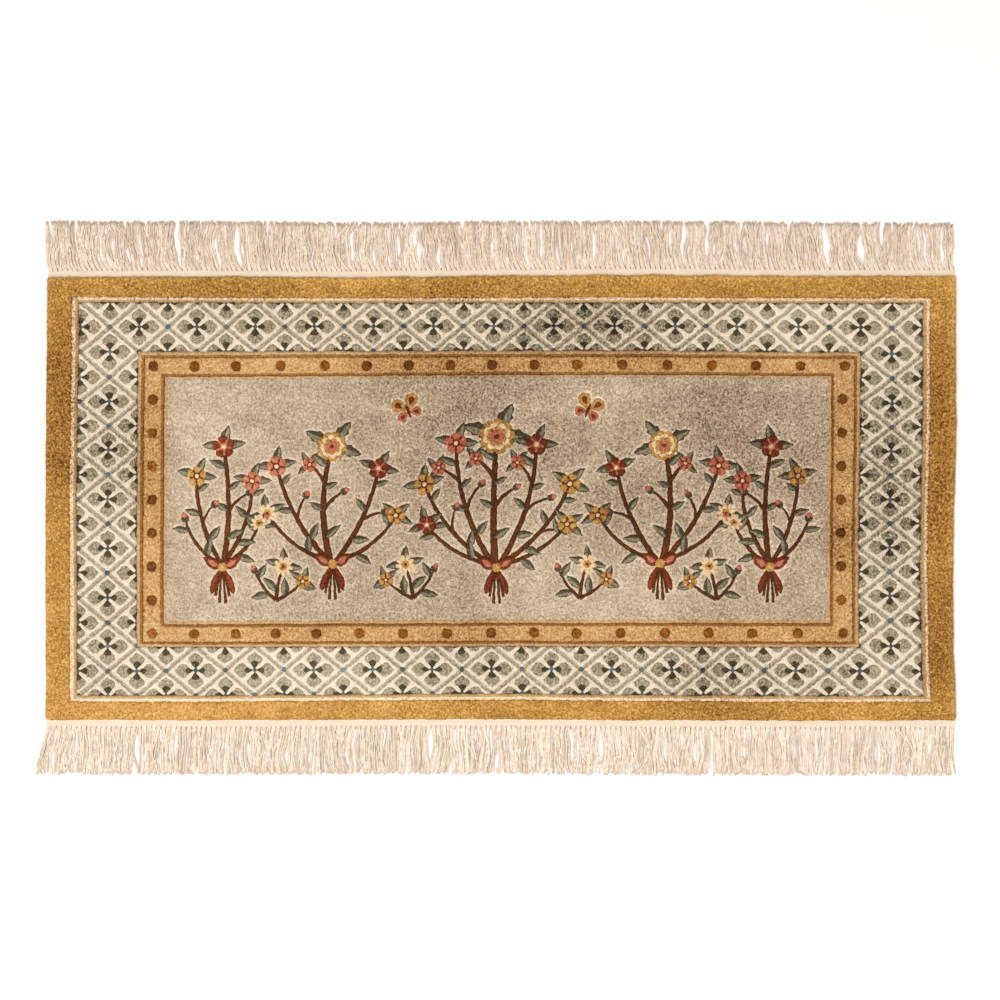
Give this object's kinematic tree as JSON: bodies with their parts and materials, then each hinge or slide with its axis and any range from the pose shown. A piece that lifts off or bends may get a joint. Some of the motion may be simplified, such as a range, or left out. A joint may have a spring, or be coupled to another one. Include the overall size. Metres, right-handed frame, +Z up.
{
  "type": "silk rug",
  "caption": "Oblong hand-knotted silk rug lying flat: plain outer border, carved trellis border, dotted inner border, flowered field and a cotton fringe on each long edge.",
  "frame": {"origin": "the middle of the pile's flat underside, on the floor", "axes": "+X along the rug's long edges, +Y towards its back long edge, +Z up out of the pile"},
  "size_m": [1.2213, 0.7443, 0.0092],
  "materials": {
    "silk_pile": "cut silk pile with a soft sheen",
    "cotton_warp": "matt twisted cotton yarn"
  },
  "bodies": {
    "root": {"rug_pile": "silk_pile", "fringe_front": "cotton_warp", "fringe_back": "cotton_warp"}
  },
  "joints": []
}
